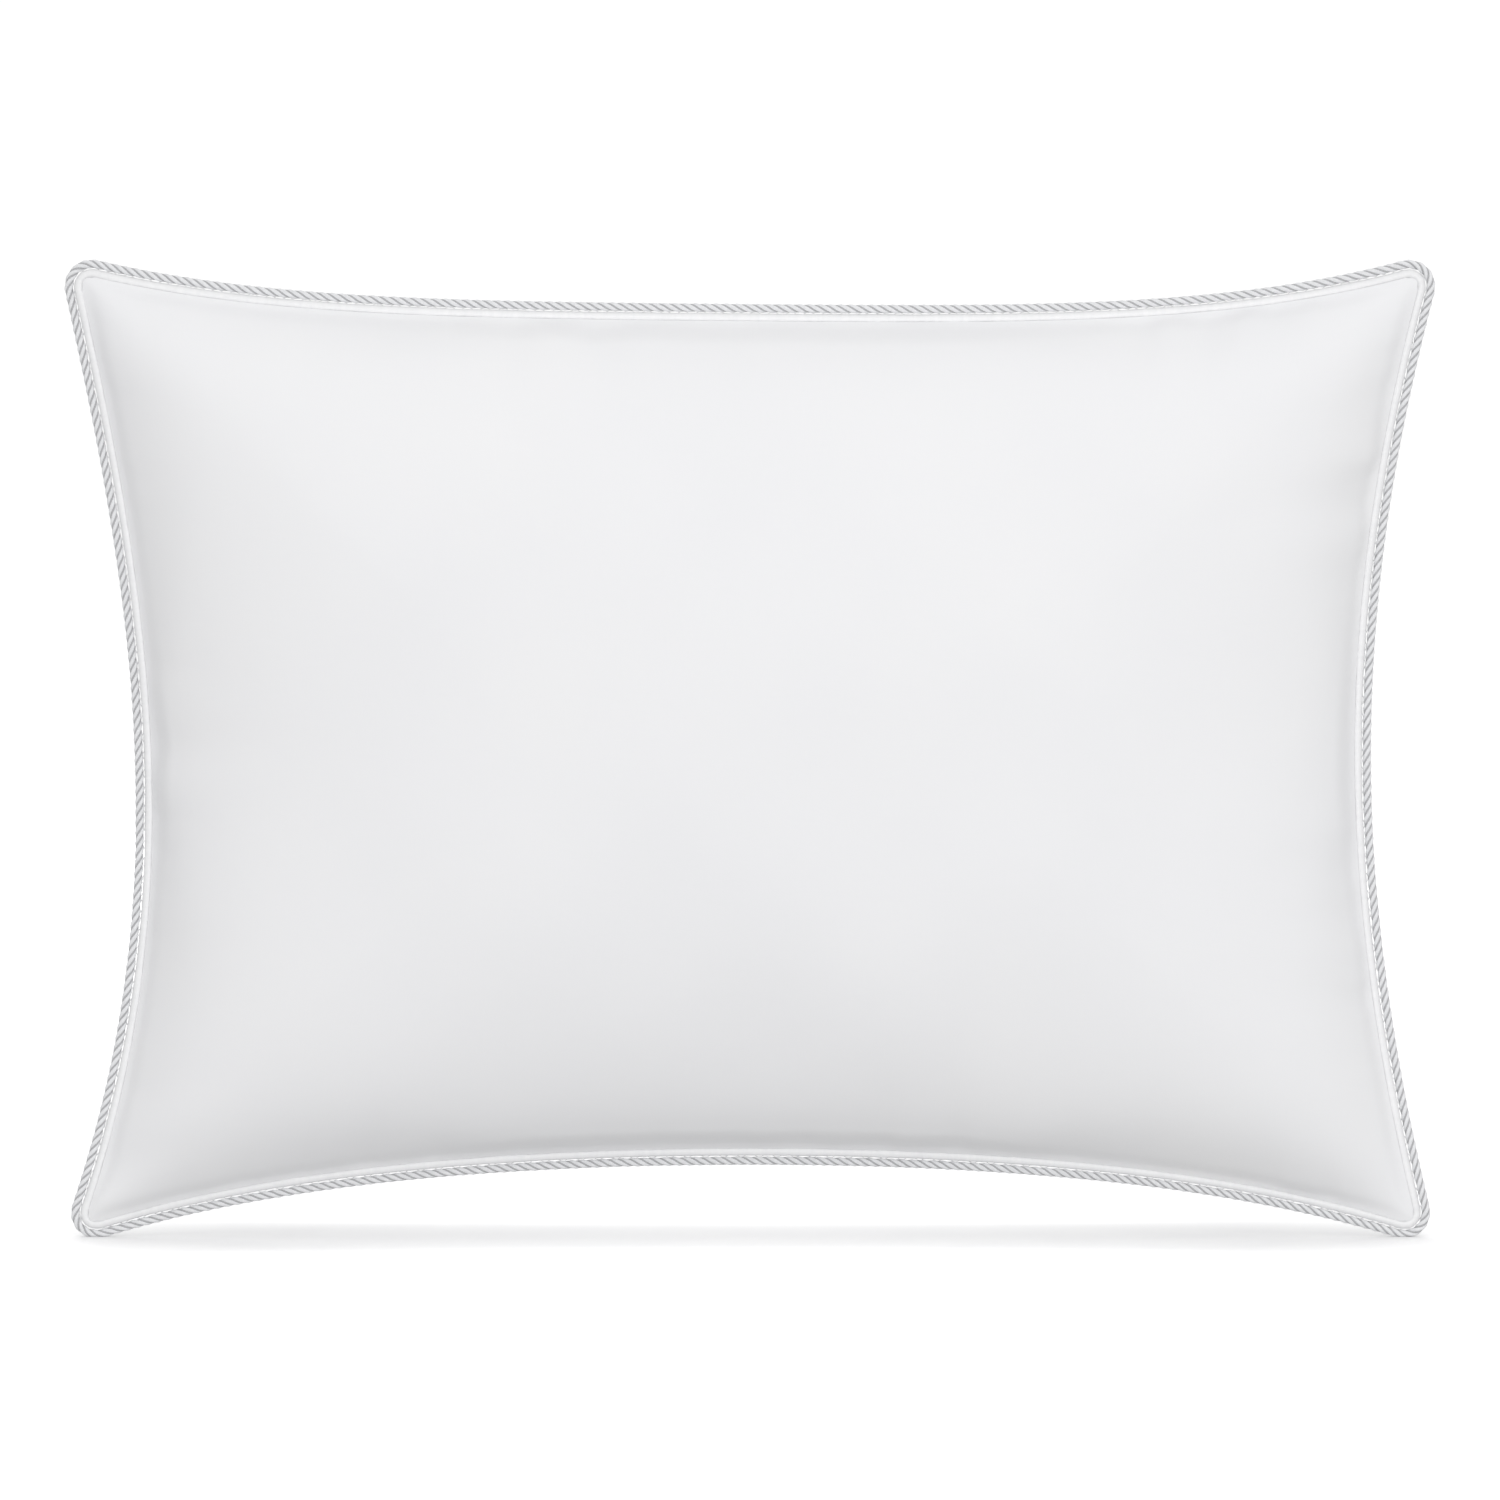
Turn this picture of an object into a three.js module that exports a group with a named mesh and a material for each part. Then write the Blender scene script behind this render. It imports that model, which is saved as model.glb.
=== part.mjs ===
// Bed pillow with a piped and roped edge, standing on its two lower corners.
//
// Millimetres. X runs along the width, the front faces -Y and +Z is up. The
// edge rope touches the floor at z = 0, and the seam lies in the plane y = 0.
//
// Every piece is a loft: a row of closed rings that run round the pillow, all
// with the same number of points, joined one to the next.

import * as THREE from 'three';

// ---- Driving dimensions ------------------------------------------------------

const SEAM_WIDTH = 668; // seam to seam along the pillow, measured at the corners
const SEAM_HEIGHT = 475;
const SEAM_CORNER_RADIUS = 6.5;
const SWELL = 83; // how far each cover rises from the seam at its middle
const SHOULDER = 2.2; // higher gives fuller, steeper sides
const FLAT_SHARE = 0.33; // the middle third of a cover is flat, so the pillow can lie on it
const CORE_SHARE = 0.36; // the inner walls rise this share of the swell
const CROWN_ROUNDING = 0.8; // how quickly a sheet's rings turn from a rectangle to an oval

// How far each side of the seam is drawn in once the case is filled, as the
// control values of a curve that is zero at both corners.
const DRAWN_IN = {
  bottom: [52, 34, 52], // left to right
  top: [41, 4, 47],
  left: [42, 48, 26], // bottom to top
  right: [29, 46, 31],
};

const CLOTH = 0.4; // thickness of one ply
const GAP = 0.3; // air left between neighbouring pieces
const ALLOWANCE = 9.2; // cloth turned in beyond the seam
const THREAD = 0.5; // thread diameter

const PIPING_RADIUS = 2.4;
const PIPING_CORE_RADIUS = PIPING_RADIUS - CLOTH - GAP;
const ROPE_RADIUS = 2.3;
const ROPE_SQUASH = 0.8; // the rope is pressed flat by this much on the floor
const ROPE_THREAD_BEHIND = 1.7; // the rope's thread runs this far behind the seam plane

const CLOSING_SEAM_LENGTH = 190; // stretch of the bottom seam closed last
const LABEL_WIDTH = 32;
const LABEL_LENGTH = 46;
const LABEL_LIFT = 1.2; // distance of the label from the cover behind it
const LABEL_HEIGHT = -110; // height of the label's middle from mid-height

// Ring resolution. The crown rings are the shares of the seam's size at which
// each swollen sheet has a ring, from the seam to the middle.
const CORNER_STEPS = 6;
const LONG_SIDE_STEPS = 10;
const SHORT_SIDE_STEPS = 7;
const PIPING_STEPS = 6;
const PIPING_CORE_SIDES = 6;
const ROPE_SIDES = 8;
const THREAD_SIDES = 4;
const CLOSING_THREAD_STEPS = 12;
const CROWN_RINGS = [0.985, 0.95, 0.88, 0.76, 0.58, 0.32];

// Distance from the seam plane of each layer of the seam, from the middle out.
const PIPING_PLY = GAP / 2;
const COVER_ALLOWANCE = PIPING_PLY + CLOTH + GAP;
const WALL_ALLOWANCE = COVER_ALLOWANCE + CLOTH + GAP;
const SEAM_THREAD = WALL_ALLOWANCE + CLOTH + GAP;
const WALL_BASE = SEAM_THREAD + THREAD + GAP;
const FILL_RIM = WALL_BASE + CLOTH + 2 * GAP;
const COVER_BASE = FILL_RIM + 2 * GAP;

const WALL_INSET = CLOTH + GAP; // the inner walls fold just inside the covers

const FRONT = -1; // side of the seam plane, as the sign of y
const BACK = 1;

// ---- Colours -------------------------------------------------------------------

const WHITE_COTTON = { color: 0xf2f3f6, roughness: 0.78, metalness: 0 };
const WALL_COTTON = { color: 0xe9e7e0, roughness: 0.85, metalness: 0 };
const SOFT_FIBRE = { color: 0xf7f6f1, roughness: 0.95, metalness: 0 };
const CORE_FIBRE = { color: 0xe6e1d6, roughness: 0.95, metalness: 0 };
const WHITE_SATIN = { color: 0xf8f8fa, roughness: 0.45, metalness: 0 };
const CORE_CORD = { color: 0xeeece5, roughness: 0.9, metalness: 0 };
const GREY_ROPE = { color: 0xc4c6ca, roughness: 0.6, metalness: 0 };
const WHITE_THREAD = { color: 0xf5f5f5, roughness: 0.5, metalness: 0 };

// ---- Outline -------------------------------------------------------------------

function drawnIn([start, middle, end], t) {
  const s = 1 - t;
  return 4 * s ** 3 * t * start + 6 * s ** 2 * t ** 2 * middle + 4 * s * t ** 3 * end;
}

// Where a point of the flat case, measured from its middle, lies once the case
// is filled and its sides are drawn in.
function filledPlace(x, z) {
  const u = x / SEAM_WIDTH + 0.5;
  const v = z / SEAM_HEIGHT + 0.5;
  const fromSides = (1 - u) * drawnIn(DRAWN_IN.left, v) - u * drawnIn(DRAWN_IN.right, v);
  const fromEnds = (1 - v) * drawnIn(DRAWN_IN.bottom, u) - v * drawnIn(DRAWN_IN.top, u);
  return [x + fromSides, z + fromEnds];
}

// The height of a swollen sheet as a share, from one over its flat middle to
// zero at the seam.
function shoulder(share) {
  const beyondFlat = Math.max(0, (Math.abs(share) - FLAT_SHARE) / (1 - FLAT_SHARE));
  return Math.sqrt(Math.max(0, 1 - beyondFlat ** SHOULDER));
}

// How far a sheet swells from the seam plane over a point of the flat case.
function swellAt(x, z) {
  return SWELL * shoulder((2 * x) / SEAM_WIDTH) * shoulder((2 * z) / SEAM_HEIGHT);
}

// A rectangle with round corners as points, anticlockwise from the right side's
// upper end as the front sees it.
function roundedRectangle(halfWidth, halfHeight, radius) {
  const corners = [[1, 1], [-1, 1], [-1, -1], [1, -1]];
  const points = [];
  corners.forEach(([sideX, sideZ], corner) => {
    const centre = [sideX * (halfWidth - radius), sideZ * (halfHeight - radius)];
    for (let step = 0; step <= CORNER_STEPS; step += 1) {
      const angle = (corner + step / CORNER_STEPS) * (Math.PI / 2);
      points.push([centre[0] + radius * Math.cos(angle), centre[1] + radius * Math.sin(angle)]);
    }
    const [nextX, nextZ] = corners[(corner + 1) % 4];
    const along = corner % 2 === 0 ? LONG_SIDE_STEPS : SHORT_SIDE_STEPS;
    const start = points[points.length - 1];
    const end = corner % 2 === 0
      ? [nextX * (halfWidth - radius), start[1]]
      : [start[0], nextZ * (halfHeight - radius)];
    for (let step = 1; step < along; step += 1) {
      const t = step / along;
      points.push([start[0] + t * (end[0] - start[0]), start[1] + t * (end[1] - start[1])]);
    }
  });
  return points;
}

// A ring inside the seam, at a distance from it and at a depth off the seam plane.
function insetRing(inset, y) {
  const radius = Math.max(SEAM_CORNER_RADIUS - inset, 1);
  const flat = roundedRectangle(SEAM_WIDTH / 2 - inset, SEAM_HEIGHT / 2 - inset, radius);
  return flat.map(([x, z]) => {
    const [placeX, placeZ] = filledPlace(x, z);
    return new THREE.Vector3(placeX, y, placeZ);
  });
}

// A ring of a swollen sheet, at a share of the seam's size.
function crownRing(share, base, swellShare, side) {
  const halfWidth = (SEAM_WIDTH / 2) * share;
  const halfHeight = (SEAM_HEIGHT / 2) * share;
  const radius = SEAM_CORNER_RADIUS + (1 - share) * halfHeight * CROWN_ROUNDING;
  return roundedRectangle(halfWidth, halfHeight, radius).map(([x, z]) => {
    const [placeX, placeZ] = filledPlace(x, z);
    return new THREE.Vector3(placeX, side * (base + swellShare * swellAt(x, z)), placeZ);
  });
}

function crownPole(base, swellShare, side) {
  const [x, z] = filledPlace(0, 0);
  return new THREE.Vector3(x, side * (base + swellShare * swellAt(0, 0)), z);
}

const SEAM_LINE = insetRing(0, 0);

// Unit vectors that point outwards from the seam, in its plane.
const SEAM_OUTWARD = SEAM_LINE.map((point, index) => {
  const before = SEAM_LINE.at(index - 1);
  const after = SEAM_LINE[(index + 1) % SEAM_LINE.length];
  const along = after.clone().sub(before).normalize();
  return new THREE.Vector3(along.z, 0, -along.x);
});

// A ring at a distance outside the seam.
function outsideRing(distance, y) {
  return SEAM_LINE.map((point, index) => {
    const place = point.clone().addScaledVector(SEAM_OUTWARD[index], distance);
    place.y = y;
    return place;
  });
}

// ---- Lofts ---------------------------------------------------------------------

function signedVolume(positions, indices) {
  const corner = [new THREE.Vector3(), new THREE.Vector3(), new THREE.Vector3()];
  let volume = 0;
  for (let i = 0; i < indices.length; i += 3) {
    corner.forEach((point, k) => point.copy(positions[indices[i + k]]));
    volume += corner[0].dot(corner[1].cross(corner[2])) / 6;
  }
  return volume;
}

function closedGeometry(positions, indices) {
  if (signedVolume(positions, indices) < 0) {
    indices.reverse();
  }
  const geometry = new THREE.BufferGeometry().setFromPoints(positions);
  geometry.setIndex(indices);
  geometry.computeVertexNormals();
  return geometry;
}

// Joins a ring to the next one with two triangles for each pair of points. The
// triangles meet along a diagonal that leans forwards or backwards.
function joinRings(indices, first, second, count, leansForwards = true) {
  for (let i = 0; i < count; i += 1) {
    const next = (i + 1) % count;
    if (leansForwards) {
      indices.push(first + i, second + i, second + next);
      indices.push(first + i, second + next, first + next);
    } else {
      indices.push(first + i, second + i, first + next);
      indices.push(second + i, second + next, first + next);
    }
  }
}

// A body like a ball: a pole, rings, and a pole. Its diagonals lean the same way
// on both faces of a sheet, so that nested sheets keep their distance.
function loftBetweenPoles(startPole, rings, endPole) {
  const count = rings[0].length;
  const positions = [startPole, ...rings.flat(), endPole];
  const indices = [];
  for (let i = 0; i < count; i += 1) {
    const next = (i + 1) % count;
    const lastRing = 1 + (rings.length - 1) * count;
    indices.push(0, 1 + i, 1 + next);
    indices.push(positions.length - 1, lastRing + next, lastRing + i);
  }
  const width = (ring) => ring[0].distanceTo(ring[Math.floor(count / 2)]);
  for (let ring = 0; ring < rings.length - 1; ring += 1) {
    const widens = width(rings[ring + 1]) > width(rings[ring]);
    joinRings(indices, 1 + ring * count, 1 + (ring + 1) * count, count, widens);
  }
  return closedGeometry(positions, indices);
}

// A body like a tyre: rings whose last one joins the first.
function loftRound(rings) {
  const count = rings[0].length;
  const indices = [];
  rings.forEach((ring, index) => {
    joinRings(indices, index * count, ((index + 1) % rings.length) * count, count);
  });
  return closedGeometry(rings.flat(), indices);
}

// ---- Sewn sheets and filling ---------------------------------------------------

function crownRings(base, swellShare, side) {
  return CROWN_RINGS.map((share) => crownRing(share, base, swellShare, side));
}

// A sheet of cloth that swells from the seam, folds there, and ends in the
// allowance that is turned in beside the other layers.
function sewnSheet({ foldInset, allowance, base, swellShare, side }) {
  const outerCrown = crownRings(base + CLOTH, swellShare, side).reverse();
  const innerCrown = crownRings(base, swellShare, side);
  const rings = [
    ...outerCrown,
    insetRing(foldInset, side * (base + CLOTH)),
    insetRing(foldInset, side * allowance),
    insetRing(ALLOWANCE, side * allowance),
    insetRing(ALLOWANCE, side * (allowance + CLOTH)),
    insetRing(foldInset + CLOTH, side * (allowance + CLOTH)),
    insetRing(foldInset + CLOTH, side * base),
    ...innerCrown,
  ];
  const outerPole = crownPole(base + CLOTH, swellShare, side);
  return loftBetweenPoles(outerPole, rings, crownPole(base, swellShare, side));
}

function coverSheet(side) {
  return sewnSheet({
    foldInset: 0, allowance: COVER_ALLOWANCE, base: COVER_BASE, swellShare: 1, side,
  });
}

function innerWall(side) {
  return sewnSheet({
    foldInset: WALL_INSET, allowance: WALL_ALLOWANCE, base: WALL_BASE, swellShare: CORE_SHARE, side,
  });
}

// The layer of soft filling between a cover and the inner wall behind it.
function softLayer(side) {
  const outerBase = FILL_RIM;
  const innerBase = WALL_BASE + CLOTH + GAP;
  const rings = [
    ...crownRings(outerBase, 1, side).reverse(),
    insetRing(WALL_INSET, side * FILL_RIM),
    ...crownRings(innerBase, CORE_SHARE, side),
  ];
  return loftBetweenPoles(crownPole(outerBase, 1, side), rings, crownPole(innerBase, CORE_SHARE, side));
}

// The springier filling of the middle chamber, between the two inner walls. Its
// rim stays clear of the turned-in allowances.
function coreFilling() {
  const base = WALL_BASE - GAP;
  const shares = CROWN_RINGS.slice(2);
  const half = (side) => shares.map((share) => crownRing(share, base, CORE_SHARE, side));
  const rim = crownRing(CROWN_RINGS[1], 0, 0, FRONT);
  const rings = [...half(FRONT).reverse(), rim, ...half(BACK)];
  return loftBetweenPoles(
    crownPole(base, CORE_SHARE, FRONT), rings, crownPole(base, CORE_SHARE, BACK));
}

// ---- Edging ---------------------------------------------------------------------

// A round cord along the seam, outside it, with a flat of its section outwards.
function cordRings(centreDistance, radius, sides, y = 0) {
  const rings = [];
  for (let side = 0; side < sides; side += 1) {
    const angle = ((side + 0.5) / sides) * 2 * Math.PI;
    rings.push(outsideRing(centreDistance + radius * Math.cos(angle), y + radius * Math.sin(angle)));
  }
  return rings;
}

const PIPING_CENTRE = GAP + PIPING_RADIUS;
const ROPE_CENTRE = PIPING_CENTRE + PIPING_RADIUS + GAP + ROPE_RADIUS;

// The strip wrapped round the piping's core. Its two plies run in beside each
// other between the covers' allowances.
function pipingStrip() {
  const arc = (radius, from, to) => {
    return Array.from({ length: PIPING_STEPS + 1 }, (_, step) => {
      const angle = from + (step / PIPING_STEPS) * (to - from);
      return outsideRing(PIPING_CENTRE + radius * Math.cos(angle), radius * Math.sin(angle));
    });
  };
  const outerPly = PIPING_PLY + CLOTH;
  const outerAngle = Math.PI - Math.asin(outerPly / PIPING_RADIUS);
  const innerRadius = PIPING_RADIUS - CLOTH;
  const innerAngle = Math.PI - Math.asin(PIPING_PLY / innerRadius);
  return loftRound([
    insetRing(ALLOWANCE, -outerPly),
    ...arc(PIPING_RADIUS, -outerAngle, outerAngle),
    insetRing(ALLOWANCE, outerPly),
    insetRing(ALLOWANCE, PIPING_PLY),
    ...arc(innerRadius, innerAngle, -innerAngle),
    insetRing(ALLOWANCE, -PIPING_PLY),
  ]);
}

function pipingCore() {
  return loftRound(cordRings(PIPING_CENTRE, PIPING_CORE_RADIUS, PIPING_CORE_SIDES));
}

function edgeRope(lift) {
  const rings = cordRings(ROPE_CENTRE, ROPE_RADIUS, ROPE_SIDES);
  rings.flat().forEach((point) => {
    point.z = Math.max(point.z, -lift);
  });
  return loftRound(rings);
}

// ---- Threads --------------------------------------------------------------------

// The lockstitch thread on one face of the seam's layers, just inside the fold.
function seamThread(side) {
  const inset = WALL_INSET + 2 * (CLOTH + GAP);
  const radius = THREAD / 2;
  const middle = side * (SEAM_THREAD + radius);
  return loftRound([
    insetRing(inset - radius, middle),
    insetRing(inset, middle + radius),
    insetRing(inset + radius, middle),
    insetRing(inset, middle - radius),
  ]);
}

// The thread that holds the rope to the piping, in the groove between the two.
function ropeThread() {
  const groove = PIPING_CENTRE + PIPING_RADIUS + GAP / 2;
  return loftRound(cordRings(groove, THREAD / 2, THREAD_SIDES, ROPE_THREAD_BEHIND));
}

function stretchOfTube(centres, radius) {
  const path = new THREE.CatmullRomCurve3(centres);
  const section = new THREE.Shape();
  for (let side = 0; side < THREAD_SIDES; side += 1) {
    const angle = (side / THREAD_SIDES) * 2 * Math.PI;
    const point = [radius * Math.cos(angle), radius * Math.sin(angle)];
    if (side === 0) {
      section.moveTo(...point);
    } else {
      section.lineTo(...point);
    }
  }
  section.closePath();
  return new THREE.ExtrudeGeometry(section, {
    steps: CLOSING_THREAD_STEPS, extrudePath: path, bevelEnabled: false,
  });
}

// The hand-closed stretch of the bottom seam, in the groove behind the piping.
function closingThread() {
  const groove = outsideRing(CLOTH + GAP, COVER_BASE - 2 * CLOTH);
  const reach = CLOSING_SEAM_LENGTH / 2;
  const bottom = groove.filter((point) => point.z < 0 && Math.abs(point.x) < reach);
  return stretchOfTube(bottom, THREAD / 2);
}

// ---- Label ----------------------------------------------------------------------

// A blank strip caught in the back of the left seam that lies up the back cover.
function careLabel() {
  const rowShares = [1, ...CROWN_RINGS.slice(0, 3)];
  const columns = [-0.5, 0, 0.5].map((share) => LABEL_HEIGHT + share * LABEL_WIDTH);
  const row = (share, z) => {
    const x = (-SEAM_WIDTH / 2) * share;
    const [placeX, placeZ] = filledPlace(x, z);
    const rise = share === 1 ? 0 : swellAt(x, z);
    return new THREE.Vector3(placeX, COVER_BASE + CLOTH + rise, placeZ);
  };
  const profiles = columns.map((z) => trimmed(rowShares.map((share) => row(share, z)), LABEL_LENGTH));
  return thickStrip(profiles, LABEL_LIFT, CLOTH);
}

// The first stretch of a line of points, cut off at a length.
function trimmed(points, length) {
  const kept = [points[0]];
  let left = length;
  for (let i = 1; i < points.length && left > 0; i += 1) {
    const step = points[i].distanceTo(points[i - 1]);
    kept.push(points[i - 1].clone().lerp(points[i], Math.min(1, left / step)));
    left -= step;
  }
  return kept;
}

// A strip of cloth over a grid of points, lifted off it towards the side.
function thickStrip(profiles, lift, thickness) {
  const offsetProfile = (profile, distance) => profile.map((point, i) => {
    const before = profile[Math.max(i - 1, 0)];
    const after = profile[Math.min(i + 1, profile.length - 1)];
    const along = after.clone().sub(before).normalize();
    return point.clone().add(new THREE.Vector3(-along.y, along.x, 0).multiplyScalar(distance));
  });
  const loops = profiles.map((profile) => [
    ...offsetProfile(profile, lift + thickness),
    ...offsetProfile(profile, lift).reverse(),
  ]);
  const count = loops[0].length;
  const indices = [];
  for (let loop = 0; loop < loops.length - 1; loop += 1) {
    joinRings(indices, loop * count, (loop + 1) * count, count);
  }
  const half = count / 2;
  const last = (loops.length - 1) * count;
  for (let i = 0; i < half - 1; i += 1) {
    const [near, far] = [count - 1 - i, count - 2 - i];
    indices.push(i, i + 1, near, i + 1, far, near);
    indices.push(last + i, last + near, last + i + 1, last + i + 1, last + near, last + far);
  }
  return closedGeometry(loops.flat(), indices);
}

// ---- Assembly -------------------------------------------------------------------

// The pillow is lifted so that the squashed rope just meets the floor.
const ropePoints = cordRings(ROPE_CENTRE, ROPE_RADIUS, ROPE_SIDES).flat();
const ropeBottom = Math.min(...ropePoints.map((point) => point.z));
const LIFT = -(ropeBottom + ROPE_SQUASH);

// The overall width is centred on x = 0.
const ropeSides = ropePoints.map((point) => point.x);
const SHIFT = -(Math.max(...ropeSides) + Math.min(...ropeSides)) / 2;

const pillow = new THREE.Group();
pillow.position.set(SHIFT, 0, LIFT);

function addPiece(name, geometry, finish) {
  const piece = new THREE.Mesh(geometry, new THREE.MeshStandardMaterial(finish));
  piece.name = name;
  pillow.add(piece);
}

addPiece('front_cover', coverSheet(FRONT), WHITE_COTTON);
addPiece('back_cover', coverSheet(BACK), WHITE_COTTON);
addPiece('front_inner_wall', innerWall(FRONT), WALL_COTTON);
addPiece('back_inner_wall', innerWall(BACK), WALL_COTTON);
addPiece('front_soft_filling', softLayer(FRONT), SOFT_FIBRE);
addPiece('back_soft_filling', softLayer(BACK), SOFT_FIBRE);
addPiece('core_filling', coreFilling(), CORE_FIBRE);
addPiece('piping_strip', pipingStrip(), WHITE_SATIN);
addPiece('piping_core', pipingCore(), CORE_CORD);
addPiece('edge_rope', edgeRope(LIFT), GREY_ROPE);
addPiece('rope_thread', ropeThread(), WHITE_THREAD);
addPiece('seam_needle_thread', seamThread(FRONT), WHITE_THREAD);
addPiece('seam_bobbin_thread', seamThread(BACK), WHITE_THREAD);
addPiece('closing_thread', closingThread(), WHITE_THREAD);
addPiece('care_label', careLabel(), WHITE_SATIN);

const part = new THREE.Group();
part.add(pillow);

export default part;
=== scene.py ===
"""Bed pillow with a piped and roped edge: the looks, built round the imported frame.

Metres, in the frame's axes: X along the width, the front faces -Y and +Z is up.
The seam's outline is the frame's own formula. A flat case is drawn in at its four
sides, and a cloth simulation blows it up from there. Every cloth piece and filling
is then read off that one swollen shape, so that they nest without touching.
"""

import math

import bpy
import numpy as np
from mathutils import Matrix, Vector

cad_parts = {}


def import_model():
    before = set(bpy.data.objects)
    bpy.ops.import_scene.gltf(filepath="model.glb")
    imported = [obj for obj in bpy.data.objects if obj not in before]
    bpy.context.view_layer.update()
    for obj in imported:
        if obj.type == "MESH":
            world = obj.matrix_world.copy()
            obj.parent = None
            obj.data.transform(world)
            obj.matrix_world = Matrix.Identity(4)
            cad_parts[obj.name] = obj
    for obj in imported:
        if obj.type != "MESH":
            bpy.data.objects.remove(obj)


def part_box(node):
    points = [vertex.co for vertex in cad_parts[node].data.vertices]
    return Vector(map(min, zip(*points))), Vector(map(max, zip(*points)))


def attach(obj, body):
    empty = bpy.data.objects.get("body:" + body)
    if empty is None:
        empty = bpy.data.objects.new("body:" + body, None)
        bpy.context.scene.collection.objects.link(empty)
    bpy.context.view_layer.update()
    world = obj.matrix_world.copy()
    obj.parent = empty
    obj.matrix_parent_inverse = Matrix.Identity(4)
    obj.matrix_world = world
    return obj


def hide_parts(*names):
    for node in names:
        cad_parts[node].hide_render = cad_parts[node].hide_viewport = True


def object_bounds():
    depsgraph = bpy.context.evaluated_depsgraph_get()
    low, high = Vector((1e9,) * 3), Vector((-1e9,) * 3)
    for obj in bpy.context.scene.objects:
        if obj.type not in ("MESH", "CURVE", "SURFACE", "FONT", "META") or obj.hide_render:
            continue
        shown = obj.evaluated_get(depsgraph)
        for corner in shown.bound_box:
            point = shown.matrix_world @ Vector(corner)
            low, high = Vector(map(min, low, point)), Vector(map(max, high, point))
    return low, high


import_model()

CAD_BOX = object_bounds()
MM = 0.001
FRONT = -1  # side of the seam plane, as the sign of y
BACK = 1
SIDE_NAMES = {FRONT: "front", BACK: "back"}

# ---- Driving dimensions, the same as the frame's ---------------------------------

SEAM_WIDTH = 668 * MM
SEAM_HEIGHT = 475 * MM
SEAM_CORNER_RADIUS = 6.5 * MM
DRAWN_IN = {
    "bottom": (52 * MM, 34 * MM, 52 * MM),  # left to right
    "top": (41 * MM, 4 * MM, 47 * MM),
    "left": (42 * MM, 48 * MM, 26 * MM),  # bottom to top
    "right": (29 * MM, 46 * MM, 31 * MM),
}
CORE_SHARE = 0.36  # the inner walls rise this share of the swell
ALLOWANCE = 9.2 * MM  # cloth turned in beyond the seam
PIPING_RADIUS = 2.4 * MM
PIPING_CENTRE = 2.7 * MM  # distance outside the seam
ROPE_CENTRE = 7.7 * MM
CLOSING_SEAM_LENGTH = 190 * MM
LABEL_WIDTH = 32 * MM
LABEL_LENGTH = 46 * MM  # from the seam to the fold
LABEL_LIFT = 1.2 * MM
LABEL_HEIGHT = -110 * MM  # height of the label's middle from mid-height

# ---- Cloth and trim as they look -------------------------------------------------

CLOTH = 0.3 * MM
RIM = 2.1 * MM  # the covers leave the seam at this distance from its plane
RIM_OUT = 1.25 * MM  # and this far outside the seam line, against the piping
RIM_OUT_REACH = 0.8 * MM
STACK = 1.15 * MM  # the turned-in layers hold the covers this much further apart
STACK_REACH = 2 * MM
WALL_RIM = 1.5 * MM
WALL_STACK = 0.9 * MM
WALL_INSET = 1.5 * MM
WALL_SHAPE = {"rise": CORE_SHARE, "base": WALL_RIM, "stack": WALL_STACK}
CUT_WIDTH = 700 * MM  # the case as it was cut and sewn, before it was filled
CUT_HEIGHT = 500 * MM

# Allowances turned in at the border: (inset, distance from the seam's plane), in mm
COVER_ALLOWANCE = [(-0.55, 1.75), (0.12, 0.66), (0.6, 0.6), (3, 0.6), (ALLOWANCE / MM, 0.6)]
WALL_ALLOWANCE = [(0.1, 1.3), (0.5, 1.15), ((ALLOWANCE - WALL_INSET) / MM, 1.15)]

UNEVEN_HEIGHT = 0.5 * MM  # soft hills over the covers
UNEVEN_LENGTHS = (90 * MM, 210 * MM)
UNEVEN_REACH = 20 * MM  # they fade out towards the seam
PUCKER_START = 2.5 * MM  # the gathers grow in about this far from the seam
FINE_PUCKER_HEIGHT = 0.22 * MM
FINE_PUCKER_LENGTHS = (12 * MM, 24 * MM)
FINE_PUCKER_REACH = 9 * MM
WIDE_PUCKER_HEIGHT = 0.5 * MM
WIDE_PUCKER_LENGTHS = (32 * MM, 75 * MM)
WIDE_PUCKER_REACH = 26 * MM
STRENGTH_LENGTHS = (150 * MM, 320 * MM)  # of the gathers' strength
WALL_SLACK = 0.5 * MM
WALL_SLACK_LENGTHS = (40 * MM, 120 * MM)
WALL_SLACK_REACH = 40 * MM

SOFT_INSET = 10 * MM
SOFT_CORNER = 45 * MM
SOFT_UNDER_COVER = 3.2 * MM  # gap between the cover's face and the fibre behind it
SOFT_OFF_WALL = 1.4 * MM
SOFT_TUFT_HEIGHT = 0.8 * MM
SOFT_TUFT_LENGTHS = (18 * MM, 60 * MM)
SOFT_THINNEST = 1 * MM
CORE_INSET = 16 * MM
CORE_CORNER = 55 * MM
CORE_UNDER_WALL = 2 * MM
CORE_TUFT_HEIGHT = 0.8 * MM
CORE_TUFT_LENGTHS = (12 * MM, 40 * MM)

PIPING_CLOTH = 0.4 * MM
PIPING_PLY_GAP = 0.15 * MM  # half the space between the strip's two turned-in plies
PIPING_STEPS = 18  # points round each face of the strip
CORE_CORD_ORBIT = 0.8 * MM
CORE_CORD_RADIUS = 0.82 * MM
CORE_CORD_LAY = 9 * MM
SEAM_LENGTH = 2.28  # about; scales the weave on the piping

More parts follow.
